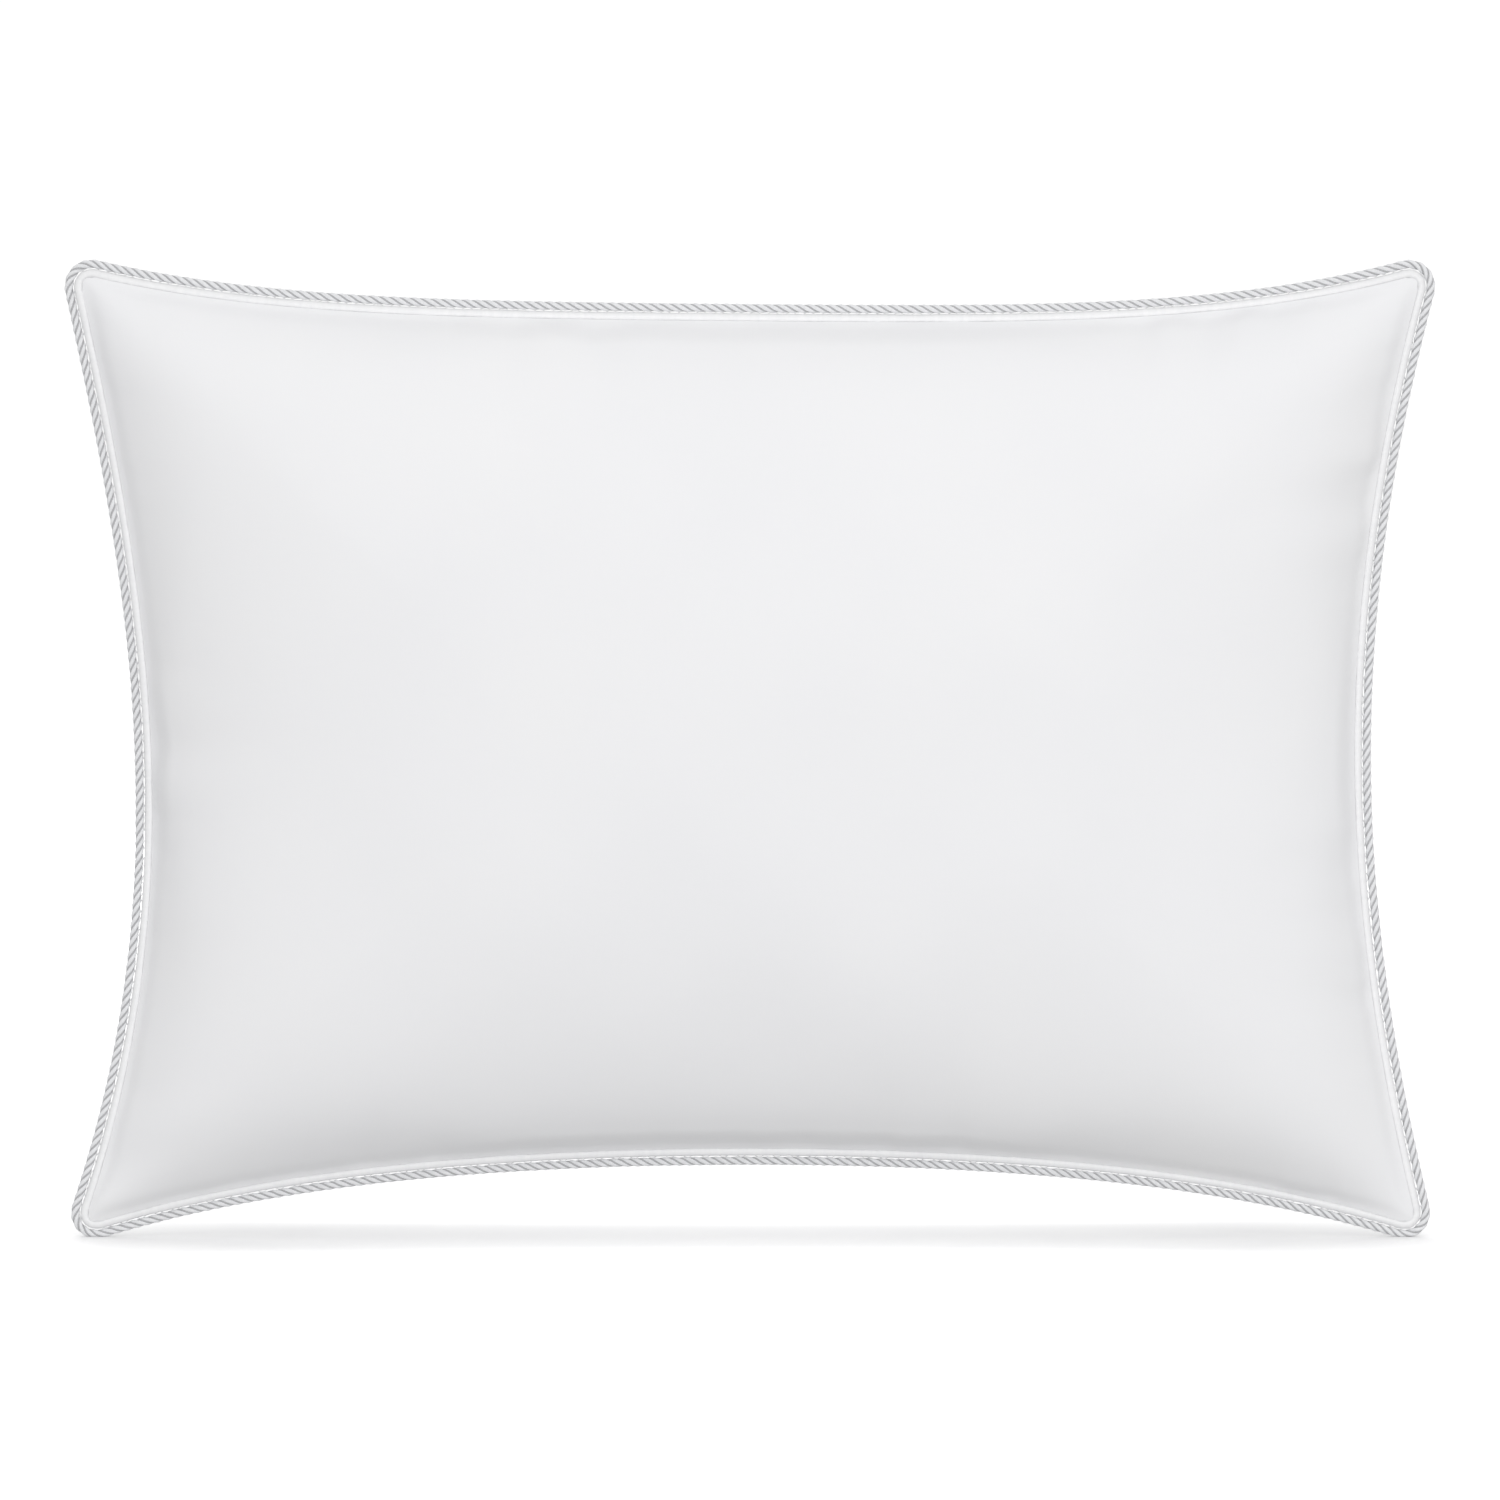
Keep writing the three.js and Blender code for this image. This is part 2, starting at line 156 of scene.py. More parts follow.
LAY = 15.6 * MM  # one full turn of a rope ply
WHITE_PLY_RADIUS = 1.08 * MM
WHITE_PLY_ORBIT = 1.22 * MM  # from the rope's middle to a ply's middle
# Dark grey plies sunk in the grooves between the white plies: painted shade for the grooves
SHADE_PLY_RADIUS = 0.6 * MM
SHADE_PLY_ORBIT = 1.34 * MM
ROPE_SWAY = 0.25 * MM
ROPE_SWAY_LENGTHS = (60 * MM, 180 * MM)
THREAD_RADIUS = 0.17 * MM
STITCH = 3 * MM
STITCH_LINE = 2.8 * MM  # distance inside the seam

COVER_GRID = (210, 150)  # columns and rows of points
WALL_GRID = (130, 94)
FILLING_GRID = (120, 88)
SEAM_STEP = 1.5 * MM  # between the points of the seam's flat line

# Starts of the random draws
COVER_SEEDS = {FRONT: 100, BACK: 200}
WALL_SEED = 300
SOFT_SEED = 400
CORE_SEED = 500
GATHER_SEED = 610
SWAY_SEED = 620

# ---- Outline ---------------------------------------------------------------------


def drawn_in(values, t):
    """How far a side comes in at the share t of its length: a smooth arch, 0 at both ends."""
    start, middle, end = values
    s = 1 - t
    return 4 * s**3 * t * start + 6 * s**2 * t**2 * middle + 4 * s * t**3 * end


def filled_place(x, z):
    """Where a point of the flat case, measured from its middle, lies once it is filled."""
    u = x / SEAM_WIDTH + 0.5
    v = z / SEAM_HEIGHT + 0.5
    from_sides = (1 - u) * drawn_in(DRAWN_IN["left"], v) - u * drawn_in(DRAWN_IN["right"], v)
    from_ends = (1 - v) * drawn_in(DRAWN_IN["bottom"], u) - v * drawn_in(DRAWN_IN["top"], u)
    return x + from_sides, z + from_ends


def rounded_rectangle(inset=0.0, corner_steps=14):
    """Flat points round the seam, anticlockwise from the right side's upper end."""
    radius = max(SEAM_CORNER_RADIUS - inset, 1 * MM)
    half = np.array([SEAM_WIDTH / 2 - inset, SEAM_HEIGHT / 2 - inset])
    steps = [round(SEAM_WIDTH / SEAM_STEP), round(SEAM_HEIGHT / SEAM_STEP)]
    signs = np.array([(1, 1), (-1, 1), (-1, -1), (1, -1)])
    points = []
    for corner in range(4):
        angles = (corner + np.linspace(0, 1, corner_steps, endpoint=False)) * math.pi / 2
        arc = signs[corner] * (half - radius) + radius * np.c_[np.cos(angles), np.sin(angles)]
        turn = (corner + 1) * math.pi / 2
        across = radius * np.array([math.cos(turn), math.sin(turn)])
        start = signs[corner] * (half - radius) + across
        end = signs[(corner + 1) % 4] * (half - radius) + across
        share = np.linspace(0, 1, steps[corner % 2], endpoint=False)[:, None]
        points += [arc, start + share * (end - start)]
    return np.concatenate(points)


def seam_to_frame():
    """How far the outline is shifted, to centre it on the front cover's box."""
    x, z = filled_place(*rounded_rectangle().T)
    low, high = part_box("front_cover")
    return (low.x + high.x - x.min() - x.max()) / 2, (low.z + high.z - z.min() - z.max()) / 2


SHIFT_X, SHIFT_Z = seam_to_frame()


def in_plane(x, z):
    """Flat case points as points of the filled seam plane, in the frame."""
    place_x, place_z = filled_place(x, z)
    return np.stack([place_x + SHIFT_X, np.zeros_like(place_x), place_z + SHIFT_Z], -1)


def unit(vectors):
    return vectors / np.linalg.norm(vectors, axis=-1, keepdims=True)


def tangents(points):
    return unit(np.roll(points, -1, 0) - np.roll(points, 1, 0))


def outward_of(points):
    """Unit vectors in the seam's plane that point out of an anticlockwise ring."""
    along = tangents(points)
    return np.stack([along[:, 2], np.zeros(len(along)), -along[:, 0]], -1)


SEAM = in_plane(*rounded_rectangle().T)
OUTWARD = outward_of(SEAM)
ALONG_Y = np.array([0.0, 1.0, 0.0])


def ring(distance, y):
    """A ring at a distance outside the seam, or inside it where the distance is negative."""
    if distance >= 0:
        points = SEAM + distance * OUTWARD
    else:
        points = in_plane(*rounded_rectangle(-distance).T)
    return points + y * ALONG_Y


def lengths_along(points):
    """The length from the first point of a line to each of its points."""
    return np.r_[0, np.cumsum(np.linalg.norm(np.diff(points, axis=0), axis=1))]


def at_stops(stops, along, values):
    """Vectors given at lengths along a line, read at other lengths."""
    return np.stack([np.interp(stops, along, values[:, axis]) for axis in range(3)], -1)


def even_ring(points, count):
    """The same closed line as evenly spaced points, and its length."""
    closed = np.vstack([points, points[:1]])
    along = lengths_along(closed)
    stops = np.linspace(0, along[-1], count, endpoint=False)
    return at_stops(stops, along, closed), along[-1]


def fading(distance, reach):
    """1 at no distance, and about a third at the reach."""
    return np.exp(-distance / reach)


# ---- Irregularities --------------------------------------------------------------


def ripples(along, shortest, longest, seed, waves=14):
    """A smooth irregular wave of about unit height, repeatable from its seed."""
    random = np.random.default_rng(seed)
    lengths = random.uniform(shortest, longest, waves)
    phases = random.uniform(0, 2 * math.pi, waves)
    total = sum(np.sin(2 * math.pi * along / w + p) for w, p in zip(lengths, phases))
    return total / math.sqrt(waves / 2)


def lumps(x, z, shortest, longest, seed, waves=18):
    """Smooth irregular hills over a flat sheet, of about unit height."""
    random = np.random.default_rng(seed)
    lengths = random.uniform(shortest, longest, waves)
    phases = random.uniform(0, 2 * math.pi, waves)
    headings = random.uniform(0, math.pi, waves)
    total = np.zeros(np.broadcast(x, z).shape)
    for length, phase, heading in zip(lengths, phases, headings):
        across = x * math.cos(heading) + z * math.sin(heading)
        total = total + np.sin(2 * math.pi * across / length + phase)
    return total / math.sqrt(waves / 2)


# ---- The swollen case ------------------------------------------------------------

SIM_COLUMNS = 97
SIM_ROWS = 69
SIM_FRAMES = 28
SIM_START_SHARE = 0.8  # the bag starts at this share of its swell
PRESSURE = 5
STRETCH_STIFFNESS = 15
SHEAR_STIFFNESS = 5
DAMPING = 5
SWELL_POWER = 2.6  # the higher, the flatter the middle of the start shape
CORNER_REACH = 150 * MM  # the sheets are evened out this near to a corner
CORNER_PASSES = 40
PLUMP_CORNERS = 0.15  # how far the filling pushes into the corners


def plain_swell(x, z):
    """The share of full depth over a point of the flat case, without simulation."""
    across = np.sqrt(np.clip(1 - np.abs(2 * x / SEAM_WIDTH) ** SWELL_POWER, 0, 1))
    up = np.sqrt(np.clip(1 - np.abs(2 * z / SEAM_HEIGHT) ** SWELL_POWER, 0, 1))
    return across * up


def sim_grid():
    x = np.linspace(-SEAM_WIDTH / 2, SEAM_WIDTH / 2, SIM_COLUMNS)
    z = np.linspace(-SEAM_HEIGHT / 2, SEAM_HEIGHT / 2, SIM_ROWS)
    return np.meshgrid(x, z)


def bag_mesh(depth):
    """Two sheets that share their border, the flat cut, the border and the grids' numbers."""
    x, z = sim_grid()
    flat = in_plane(x, z)
    border = np.zeros(x.shape, bool)
    border[[0, -1], :] = True
    border[:, [0, -1]] = True
    front_numbers = np.arange(x.size).reshape(x.shape)
    back_numbers = front_numbers.copy()
    back_numbers[~border] = x.size + np.arange((~border).sum())
    swell = (depth * SIM_START_SHARE * plain_swell(x, z))[..., None] * ALONG_Y
    points = np.vstack([(flat - swell).reshape(-1, 3), (flat + swell)[~border]])
    cut = np.stack([x * CUT_WIDTH / SEAM_WIDTH, 0 * x, z * CUT_HEIGHT / SEAM_HEIGHT], -1)
    rest = np.vstack([cut.reshape(-1, 3), cut[~border]])
    corners, _, _ = grid_corners(*x.shape)
    faces = np.vstack([front_numbers.ravel()[corners], back_numbers.ravel()[corners[:, ::-1]]])
    mesh = bpy.data.meshes.new("bag")
    mesh.from_pydata(points.tolist(), [], faces.tolist())
    return mesh, rest, front_numbers[border].tolist(), (front_numbers, back_numbers)


def set_cloth(bag, rest_key):
    modifier = bag.modifiers.new("blow_up", "CLOTH")
    cloth = modifier.settings
    cloth.quality = 6
    cloth.mass = 0.3
    cloth.tension_stiffness = STRETCH_STIFFNESS
    cloth.compression_stiffness = STRETCH_STIFFNESS
    cloth.shear_stiffness = SHEAR_STIFFNESS
    cloth.bending_stiffness = 0.5
    cloth.tension_damping = DAMPING
    cloth.compression_damping = DAMPING
    cloth.shear_damping = DAMPING
    cloth.use_pressure = True
    cloth.uniform_pressure_force = PRESSURE
    cloth.vertex_group_mass = "seam"
    cloth.rest_shape_key = rest_key
    cloth.effector_weights.gravity = 0
    modifier.collision_settings.use_collision = False
    modifier.point_cache.frame_start = 1
    modifier.point_cache.frame_end = SIM_FRAMES


def simulated_sheets(depth):
    """The two sheets of a bag held at the seam and blown up, as grids of points."""
    mesh, rest, seam_points, numbers = bag_mesh(depth)
    bag = linked("bag", mesh)
    bag.vertex_groups.new(name="seam").add(seam_points, 1.0, "ADD")
    bag.shape_key_add(name="Basis")
    rest_key = bag.shape_key_add(name="cut")
    rest_key.data.foreach_set("co", rest.ravel())
    rest_key.value = 0
    set_cloth(bag, rest_key)
    scene = bpy.context.scene
    for step in range(1, SIM_FRAMES + 1):
        scene.frame_set(step)
    blown = bag.evaluated_get(bpy.context.evaluated_depsgraph_get()).to_mesh()
    points = np.empty(len(blown.vertices) * 3)
    blown.vertices.foreach_get("co", points)
    points = points.reshape(-1, 3)
    scene.frame_set(1)
    bpy.data.objects.remove(bag)
    return points[numbers[0]], points[numbers[1]]


def softened(grid):
    """Evens out displacements near the corners, where the bag creases, and plumps them."""
    x, z = sim_grid()
    from_corner = np.maximum(SEAM_WIDTH / 2 - np.abs(x), SEAM_HEIGHT / 2 - np.abs(z))
    nearness = np.exp(-(from_corner / CORNER_REACH) ** 4)[1:-1, 1:-1, None]
    grid = grid.copy()
    for _ in range(CORNER_PASSES):
        beside = grid[:-2, 1:-1] + grid[2:, 1:-1] + grid[1:-1, :-2] + grid[1:-1, 2:]
        grid[1:-1, 1:-1] += 0.5 * nearness * (beside / 4 - grid[1:-1, 1:-1])
    share = np.abs(grid[1:-1, 1:-1, 1]) / np.abs(grid[..., 1]).max()
    grid[1:-1, 1:-1, 1] *= np.clip(share, 0.01, 1) ** (-PLUMP_CORNERS * nearness[..., 0])
    return grid


def displacement_grids():
    """For each side, how the swollen sheet departs from the seam plane."""
    low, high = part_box("front_cover")
    depth = -low.y - RIM - STACK
    x, z = sim_grid()
    flat = in_plane(x, z)
    front, back = simulated_sheets(depth)
    grids = {FRONT: softened(front - flat), BACK: softened(back - flat)}
    for grid in grids.values():
        grid[..., 1] *= depth / np.abs(grid[..., 1]).max()
    return grids


def cubic_weights(places, first, last, count):
    """Catmull-Rom weights that read evenly spaced samples at the given places."""
    at = np.clip((places - first) / (last - first), 0, 1) * (count - 1)
    cell = np.minimum(at.astype(int), count - 2)
    t = at - cell
    taps = [
        (-1, -0.5 * t + t**2 - 0.5 * t**3),
        (0, 1 - 2.5 * t**2 + 1.5 * t**3),
        (1, 0.5 * t + 2 * t**2 - 1.5 * t**3),
        (2, -0.5 * t**2 + 0.5 * t**3),
    ]
    weights = np.zeros((len(places), count))
    rows = np.arange(len(places))
    for offset, value in taps:
        np.add.at(weights, (rows, np.clip(cell + offset, 0, count - 1)), value)
    return weights


def crowded(length, count, crowding=0.6):
    """Places from end to end of a length, closer together near both ends."""
    t = np.linspace(-1, 1, count)
    return length / 2 * (t * (1 - crowding) + crowding * np.sin(math.pi * t / 2))


def case_places(columns, rows):
    """The x of a grid's columns and the z of its rows, over the whole flat case."""
    return crowded(SEAM_WIDTH, columns), crowded(SEAM_HEIGHT, rows)


def rounded_corners(x, z, half_width, half_height, radius):
    """Bends a rectangular grid so that its four corners are round."""
    a = np.clip((np.abs(x) - half_width + radius) / radius, 0, 1)
    b = np.clip((np.abs(z) - half_height + radius) / radius, 0, 1)
    pull_x = radius * a * (1 - np.sqrt(1 - b**2 / 2))
    pull_z = radius * b * (1 - np.sqrt(1 - a**2 / 2))
    return x - np.sign(x) * pull_x, z - np.sign(z) * pull_z


class Sheet:
    """A grid over the flat case, inset from the seam, and where it lies when swollen."""

    def __init__(self, side, columns, rows, inset=0.0, corner=None,
                 rise=1.0, base=RIM, stack=STACK):
        half_width = SEAM_WIDTH / 2 - inset
        half_height = SEAM_HEIGHT / 2 - inset
        x = columns * half_width / (SEAM_WIDTH / 2)
        z = rows * half_height / (SEAM_HEIGHT / 2)
        weights_x = cubic_weights(x, -SEAM_WIDTH / 2, SEAM_WIDTH / 2, SIM_COLUMNS)
        weights_z = cubic_weights(z, -SEAM_HEIGHT / 2, SEAM_HEIGHT / 2, SIM_ROWS)
        moved = np.einsum("rj,jik,ci->rck", weights_z, SWOLLEN[side], weights_x)
        grid_x, grid_z = np.meshgrid(x, z)
        self.to_seam_x = SEAM_WIDTH / 2 - np.abs(grid_x)
        self.to_seam_z = SEAM_HEIGHT / 2 - np.abs(grid_z)
        self.to_seam = np.minimum(self.to_seam_x, self.to_seam_z)
        lift = stack * (1 - fading(self.to_seam - inset, STACK_REACH))
        moved[..., 1] = side * (base + lift + rise * np.abs(moved[..., 1]))
        radius = corner or max(SEAM_CORNER_RADIUS - inset, 1 * MM)
        self.side = side
        self.x, self.z = rounded_corners(grid_x, grid_z, half_width, half_height, radius)
        self.points = in_plane(self.x, self.z) + moved

    def normals(self):
        """Unit vectors that point out of the pillow."""
        along_x = np.gradient(self.points, axis=1)
        along_z = np.gradient(self.points, axis=0)
        return unit(np.cross(along_x, along_z)) * -self.side

    def outward(self):
        """Unit vectors in the seam's plane, straight out over the nearest side."""
        side_x = (self.to_seam_x < self.to_seam_z + SEAM_CORNER_RADIUS) * np.sign(self.x)
        side_z = (self.to_seam_z < self.to_seam_x + SEAM_CORNER_RADIUS) * np.sign(self.z)
        return unit(np.stack([side_x, 0 * side_x, side_z + 1e-9], -1))

    def push(self, heights):
        self.points = self.points + self.normals() * heights[..., None]


# ---- Meshes ----------------------------------------------------------------------


def grid_corners(rows, columns, wrap_rows=False, wrap_columns=False):
    """Each quad's point numbers, and the grid row and column of each of its corners."""
    row, column = np.meshgrid(
        np.arange(rows if wrap_rows else rows - 1),
        np.arange(columns if wrap_columns else columns - 1),
        indexing="ij",
    )
    corner_rows = np.stack([row, row, row + 1, row + 1], -1).reshape(-1, 4)
    corner_columns = np.stack([column, column + 1, column + 1, column], -1).reshape(-1, 4)
    numbers = (corner_rows % rows) * columns + corner_columns % columns
    return numbers, corner_rows, corner_columns


def border_numbers(rows, columns):
    """The point numbers round a grid's border, in order."""
    numbers = np.arange(rows * columns).reshape(rows, columns)
    return np.concatenate([
        numbers[0, :-1], numbers[:-1, -1], numbers[-1, :0:-1], numbers[:0:-1, 0],
    ])


def linked(name, data):
    """A new object in the scene."""
    made = bpy.data.objects.new(name, data)
    bpy.context.scene.collection.objects.link(made)
    return made


def new_object(name, points, faces, cloth):
    """A smooth object, with cloth coordinates for each corner of its faces."""
    mesh = bpy.data.meshes.new(name)
    mesh.from_pydata(points.tolist(), [], faces)
    layer = mesh.uv_layers.new(name="cloth")
    layer.data.foreach_set("uv", cloth.astype(np.float32).ravel())
    mesh.polygons.foreach_set("use_smooth", np.ones(len(mesh.polygons), bool))
    mesh.update()
    return linked(name, mesh)


def stand_for(piece, node, material):
    """Gives a piece its material and body, and hides the CAD node it stands for."""
    piece.data.materials.append(material)
    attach(piece, "root")
    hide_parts(node)


class Build:
    """Gathers grids of quads, with cloth coordinates in metres, into one mesh."""

    def __init__(self):
        self.points = []
        self.faces = []
        self.cloth = []
        self.count = 0

    def add_points(self, points):
        first = self.count
        self.points.append(points.reshape(-1, 3))
        self.count += points.size // 3
        return first

    def add_faces(self, faces, cloth, flip):
        turn = -1 if flip else 1
        self.faces.append(faces[:, ::turn])
        self.cloth.append(cloth[:, ::turn])

    def sheet(self, points, u, v, flip=False):
        """A grid with borders; u and v are cloth coordinates at each of its points."""
        first = self.add_points(points)
        faces, _, _ = grid_corners(*points.shape[:2])
        cloth = np.stack([u.ravel()[faces], v.ravel()[faces]], -1)
        self.add_faces(first + faces, cloth, flip)
        return first

    def tube(self, rings, along, around, flip=False):
        """Closed sections in a closed row; along and around are lengths in metres."""
        first = self.add_points(rings)
        steps, sides = rings.shape[:2]
        faces, corner_rows, corner_columns = grid_corners(steps, sides, True, True)
        cloth = np.stack([corner_rows * along / steps, corner_columns * around / sides], -1)
        self.add_faces(first + faces, cloth, flip)

    def band(self, first_ring, second_ring, cloth_ring, flip=False):
        """Quads between two closed rings of points that are already in the mesh."""
        following = np.roll(first_ring, -1), np.roll(second_ring, -1)
        faces = np.stack([first_ring, *following, second_ring], -1)
        ahead = np.roll(cloth_ring, -1, 0)
        cloth = np.stack([cloth_ring, ahead, ahead, cloth_ring], 1)
        self.add_faces(faces, cloth, flip)

    def piece(self, name, material, slot, replaces, thickness=0.0):
        """Makes the mesh an object that stands for a CAD node."""
        faces = np.vstack(self.faces).tolist()
        piece = new_object(name, np.vstack(self.points), faces, np.vstack(self.cloth))
        if thickness:
            ply = piece.modifiers.new("thickness", "SOLIDIFY")
            ply.thickness = thickness
            ply.offset = -1
        stand_for(piece, replaces, material)
        return piece


def round_section(radius, sides):
    angles = np.linspace(0, 2 * math.pi, sides, endpoint=False)
    return radius * np.c_[np.cos(angles), np.sin(angles)]


def swept(centres, first, second, section):
    """A flat section set at each centre, spread along two directions there."""
    return (centres[:, None, :] + first[:, None, :] * section[None, :, :1]
            + second[:, None, :] * section[None, :, 1:])


def tube_rings(centres, radius, sides):
    """Round sections square to a closed line of centres."""
    along = tangents(centres)
    first = unit(np.cross(along, np.roll(along, 1, 0) + 0.3 * ALONG_Y))
    return swept(centres, first, np.cross(along, first), round_section(radius, sides))


# ---- Materials -------------------------------------------------------------------


class Shader:
    """A procedural material, with short calls for the nodes used here."""

    def __init__(self, name, roughness, **constants):
        self.material = bpy.data.materials.new(name)
        self.material.use_nodes = True
        self.tree = self.material.node_tree
        self.surface = self.tree.nodes["Principled BSDF"]
        self.surface.inputs["Roughness"].default_value = roughness
        for socket, value in constants.items():
            self.surface.inputs[socket.replace("_", " ")].default_value = value

    def put(self, value, socket):
        if isinstance(value, bpy.types.NodeSocket):
            self.tree.links.new(value, socket)
        else:
            socket.default_value = value

    def math(self, operation, first, second=0.0):
        node = self.tree.nodes.new("ShaderNodeMath")
        node.operation = operation
        self.put(first, node.inputs[0])
        self.put(second, node.inputs[1])
        return node.outputs[0]

    def cloth(self):
        """Cloth coordinates in metres, as two numbers."""
        source = self.tree.nodes.new("ShaderNodeUVMap")
        source.uv_map = "cloth"
        split = self.tree.nodes.new("ShaderNodeSeparateXYZ")
        self.tree.links.new(source.outputs[0], split.inputs[0])
        return split.outputs[0], split.outputs[1]

    def place(self):
        return self.tree.nodes.new("ShaderNodeTexCoord").outputs["Object"]

    def vector(self, x, y, z=0.0):
        node = self.tree.nodes.new("ShaderNodeCombineXYZ")
        for value, socket in zip((x, y, z), node.inputs):
            self.put(value, socket)
        return node.outputs[0]

    def noise(self, vector, scale, detail=2.0):
        """Noise from about 0 to 1; scale is the number of patches in a metre."""
        node = self.tree.nodes.new("ShaderNodeTexNoise")
        node.inputs["Scale"].default_value = scale
        node.inputs["Detail"].default_value = detail
        self.put(vector, node.inputs["Vector"])
        return node.outputs["Fac"]

    def wave(self, value, pitch):
        return self.math("SINE", self.math("MULTIPLY", value, 2 * math.pi / pitch))

    def colours(self, amount, stops):
        node = self.tree.nodes.new("ShaderNodeValToRGB")
        self.put(amount, node.inputs[0])
        ramp = node.color_ramp
        for element, (place, colour) in zip(ramp.elements, (stops[0], stops[-1])):
            element.position = place
            element.color = (*colour, 1)
        for place, colour in stops[1:-1]:
            ramp.elements.new(place).color = (*colour, 1)
        self.tree.links.new(node.outputs[0], self.surface.inputs["Base Color"])

    def heights(self, *layers):
        """Raises the surface by the sum of (pattern, metres) layers."""
        total = 0.0
        for pattern, metres in layers:
            total = self.math("ADD", total, self.math("MULTIPLY", pattern, metres))
        bump = self.tree.nodes.new("ShaderNodeBump")
        bump.inputs["Distance"].default_value = 1.0
        self.put(total, bump.inputs["Height"])
        self.tree.links.new(bump.outputs[0], self.surface.inputs["Normal"])

    def rough(self, pattern, low, high):
        spread = self.math("MULTIPLY", pattern, high - low)
        self.put(self.math("ADD", spread, low), self.surface.inputs["Roughness"])


def plain_weave(shader, u, v, pitch):
    """The over and under of crossing threads, from -1 to 1."""
    return shader.math("MULTIPLY", shader.wave(u, 2 * pitch), shader.wave(v, 2 * pitch))


def slubs(shader, u, v, thread):
    """Thick places along single threads of both directions."""
    long_share = 0.03
    along_u = shader.vector(shader.math("MULTIPLY", u, long_share), v)
    along_v = shader.vector(u, shader.math("MULTIPLY", v, long_share))
    scale = 1 / (2 * thread)
    return shader.math("ADD", shader.noise(along_u, scale), shader.noise(along_v, scale))


def cover_cotton():
    """Close white percale with a faint blue cast and soft, slightly uneven threads."""
    shader = Shader("cover_cotton", 0.8, Sheen_Weight=0.12, Sheen_Roughness=0.4,
                    Specular_IOR_Level=0.25)
    u, v = shader.cloth()
    threads = slubs(shader, u, v, 0.35 * MM)
    cloud = shader.noise(shader.place(), 7, 3)
    tone = shader.math("ADD", shader.math("MULTIPLY", cloud, 0.7),
                       shader.math("MULTIPLY", threads, 0.15))
    shader.colours(tone, [
        (0.3, (0.848, 0.85, 0.866)),
        (0.5, (0.862, 0.863, 0.876)),
        (0.7, (0.876, 0.876, 0.884)),
    ])
    shader.heights(
        (plain_weave(shader, u, v, 0.28 * MM), 0.006 * MM),
        (threads, 0.012 * MM),
        (shader.noise(shader.vector(u, v), 45, 3), 0.22 * MM),
    )
    shader.rough(threads, 0.7, 0.85)
    return shader.material


def wall_cotton():
    """Unbleached, more open cotton."""
    shader = Shader("wall_cotton", 0.9, Sheen_Weight=0.1)
    u, v = shader.cloth()
    threads = slubs(shader, u, v, 0.5 * MM)
    shader.colours(threads, [
        (0.7, (0.70, 0.68, 0.62)),
        (1.0, (0.76, 0.745, 0.69)),
        (1.3, (0.80, 0.79, 0.74)),
    ])
    shader.heights(
        (plain_weave(shader, u, v, 0.5 * MM), 0.02 * MM),
        (threads, 0.02 * MM),
    )
    return shader.material


def fibre(name, light, dark, clump):
    """Carded fibre: tangled strands in clumps."""
    shader = Shader(name, 0.95, Sheen_Weight=0.4, Sheen_Roughness=0.6)
    place = shader.place()
    clumps = shader.noise(place, 1 / clump, 4)
    strands = shader.noise(place, 900, 6)
    tone = shader.math("ADD", shader.math("MULTIPLY", clumps, 0.6),
                       shader.math("MULTIPLY", strands, 0.4))
    shader.colours(tone, [(0.35, dark), (0.65, light)])
    shader.heights((clumps, 2 * MM), (strands, 0.4 * MM))
    return shader.material


def piping_satin():
    """A strip cut on the bias: diagonal satin floats and fine gathers across it."""
    shader = Shader("piping_satin", 0.42, Sheen_Weight=0.1, Specular_IOR_Level=0.5)
    u, v = shader.cloth()
    bias = shader.math("ADD", u, v)
    floats = shader.wave(bias, 0.5 * MM)
    gathers = shader.noise(shader.vector(u, shader.math("MULTIPLY", v, 0.25)), 420, 2)
    shader.colours(gathers, [
        (0.3, (0.84, 0.842, 0.852)),
        (0.7, (0.88, 0.88, 0.886)),
    ])
    shader.heights((floats, 0.008 * MM), (gathers, 0.14 * MM))
    shader.rough(gathers, 0.36, 0.5)
    return shader.material


def yarn(name, light, dark, twist, roughness=0.5, fuzz=0.02 * MM):
    """Fine filaments that wind round a ply; the cloth coordinates run along and round it."""
    shader = Shader(name, roughness, Sheen_Weight=0.2, Sheen_Roughness=0.4)
    u, v = shader.cloth()
    filaments = shader.wave(shader.math("ADD", u, v), twist)
    uneven = shader.noise(shader.vector(u, v), 700, 3)
    tone = shader.math("ADD", shader.math("MULTIPLY", filaments, 0.15), uneven)
    shader.colours(tone, [(0.3, dark), (0.7, light)])
    shader.heights((filaments, 0.03 * MM), (uneven, fuzz))
    return shader.material


def label_satin():
    """Blank woven ribbon with a fine rib along its length."""
    shader = Shader("label_satin", 0.4, Specular_IOR_Level=0.5)
    u, v = shader.cloth()
    ribs = shader.wave(v, 0.45 * MM)
    threads = slubs(shader, u, v, 0.25 * MM)
    shader.colours(threads, [(0.7, (0.86, 0.865, 0.87)), (1.3, (0.91, 0.91, 0.905))])
    shader.heights((ribs, 0.012 * MM), (threads, 0.01 * MM))
    shader.rough(threads, 0.3, 0.5)
    return shader.material


# ---- Covers, walls and fillings --------------------------------------------------


